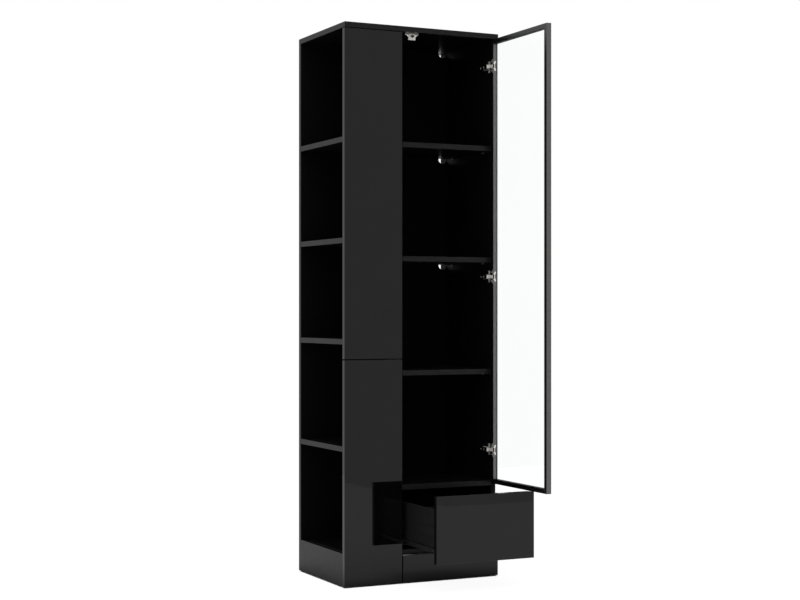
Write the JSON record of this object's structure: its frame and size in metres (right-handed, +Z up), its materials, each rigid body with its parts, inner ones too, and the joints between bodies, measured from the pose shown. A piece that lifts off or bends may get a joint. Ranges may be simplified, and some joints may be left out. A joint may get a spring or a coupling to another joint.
{
  "type": "bookcase",
  "caption": "Tall black high-gloss bookcase with open side shelves, a display bay behind a framed glass door that stands open, and a pulled-out handleless drawer below it.",
  "frame": {"origin": "on the floor, at mid-width, in the plane of the carcass's front edges", "axes": "+X to the right as one faces the front, +Y to the back, +Z up"},
  "size_m": [0.59, 0.761, 1.9],
  "materials": {
    "gloss_board": "high-gloss black lacquer",
    "laminate_board": "smooth black laminate",
    "matt_back": "satin black",
    "drawer_board": "satin dark grey foil",
    "beech": "raw",
    "black_aluminium": "satin black anodised",
    "clear_glass": "clear, polished",
    "gasket_rubber": "matt",
    "nickel_steel": "nickel-plated, bright",
    "steel": "zinc-plated",
    "black_steel": "black powder coat",
    "dark_plastic": "satin",
    "white_plastic": "satin"
  },
  "bodies": {
    "carcass": {"top_panel": "laminate_board", "right_side_panel": "laminate_board", "divider_panel": "laminate_board", "bottom_panel": "laminate_board", "display_floor_panel": "laminate_board", "display_shelf_1": "laminate_board", "display_shelf_2": "laminate_board", "display_shelf_3": "laminate_board", "side_shelf_1": "laminate_board", "side_shelf_2": "laminate_board", "side_shelf_3": "laminate_board", "side_shelf_4": "laminate_board", "side_back_panel": "laminate_board", "upper_front_panel": "gloss_board", "lower_front_panel": "gloss_board", "plinth_front": "gloss_board", "plinth_side": "gloss_board", "plinth_rear_rail": "laminate_board", "plinth_block": "beech", "display_back_panel": "matt_back", "floor_glides": "dark_plastic", "carcass_dowels": "beech", "carcass_screws": "steel", "shelf_supports": "steel", "hinge_arms": "nickel_steel", "hinge_plates": "nickel_steel", "latch_bracket": "nickel_steel", "hinge_pins": "steel", "hinge_arm_screws": "steel", "latch_housing": "white_plastic", "drawer_latch_housing": "white_plastic", "runner_fixed_left": "black_steel", "runner_fixed_right": "black_steel"},
    "door": {"door_stile_hinge": "black_aluminium", "door_stile_free": "black_aluminium", "door_rail_top": "black_aluminium", "door_rail_bottom": "black_aluminium", "door_glass": "clear_glass", "glass_gasket": "gasket_rubber", "corner_cleats": "steel", "hinge_cups": "nickel_steel", "hinge_cup_screws": "steel"},
    "hinge_links": {"hinge_links": "nickel_steel"},
    "drawer": {"drawer_front": "gloss_board", "drawer_side_left": "drawer_board", "drawer_side_right": "drawer_board", "drawer_back": "drawer_board", "drawer_bottom": "drawer_board", "drawer_screws": "steel", "drawer_dowels": "beech", "runner_drawer_left": "black_steel", "runner_drawer_right": "black_steel"},
    "carcass_roller_left": {"carcass_roller_left": "dark_plastic"},
    "carcass_roller_right": {"carcass_roller_right": "dark_plastic"},
    "drawer_roller_left": {"drawer_roller_left": "dark_plastic"},
    "drawer_roller_right": {"drawer_roller_right": "dark_plastic"},
    "latch_plunger": {"latch_plunger": "dark_plastic"},
    "drawer_latch_plunger": {"drawer_latch_plunger": "dark_plastic"}
  },
  "joints": [
    {"name": "door_swing", "type": "hinge", "parent": "carcass", "child": "door", "pos_m": [0.28695, -0.01755, 1.1025], "axis": [0, 0, 1], "range_deg": [-90, 15]},
    {"name": "link_swing", "type": "hinge", "parent": "carcass", "child": "hinge_links", "pos_m": [0.264, -0.00002, 1.1025], "axis": [0, 0, 1], "range_deg": [-11, 60]},
    {"name": "drawer_slide", "type": "slide", "parent": "carcass", "child": "drawer", "axis": [0, -1, 0], "range_m": [-0.245, 0.01]},
    {"name": "carcass_roller_left_spin", "type": "hinge", "parent": "carcass", "child": "carcass_roller_left", "pos_m": [-0.0652, 0.012, 0.1376], "axis": [1, 0, 0], "range_deg": [-2500, 110]},
    {"name": "carcass_roller_right_spin", "type": "hinge", "parent": "carcass", "child": "carcass_roller_right", "pos_m": [0.2722, 0.012, 0.1376], "axis": [1, 0, 0], "range_deg": [-2500, 110]},
    {"name": "drawer_roller_left_spin", "type": "hinge", "parent": "drawer", "child": "drawer_roller_left", "pos_m": [-0.0623, 0.035, 0.1376], "axis": [1, 0, 0], "range_deg": [-2500, 110]},
    {"name": "drawer_roller_right_spin", "type": "hinge", "parent": "drawer", "child": "drawer_roller_right", "pos_m": [0.2693, 0.035, 0.1376], "axis": [1, 0, 0], "range_deg": [-2500, 110]},
    {"name": "door_latch_press", "type": "slide", "parent": "carcass", "child": "latch_plunger", "axis": [0, 1, 0], "range_m": [0, 0.003], "stiffness_N_per_m": 400},
    {"name": "drawer_latch_press", "type": "slide", "parent": "carcass", "child": "drawer_latch_plunger", "axis": [0, 1, 0], "range_m": [0, 0.003], "stiffness_N_per_m": 400}
  ],
  "couplings": [
    {"joint": "link_swing", "follows": "door_swing", "ratio": -0.65116},
    {"joint": "carcass_roller_left_spin", "follows": "drawer_slide", "rad_per_m": 175.44},
    {"joint": "drawer_roller_left_spin", "follows": "drawer_slide", "rad_per_m": 175.44},
    {"joint": "carcass_roller_right_spin", "follows": "drawer_slide", "rad_per_m": 175.44},
    {"joint": "drawer_roller_right_spin", "follows": "drawer_slide", "rad_per_m": 175.44}
  ]
}
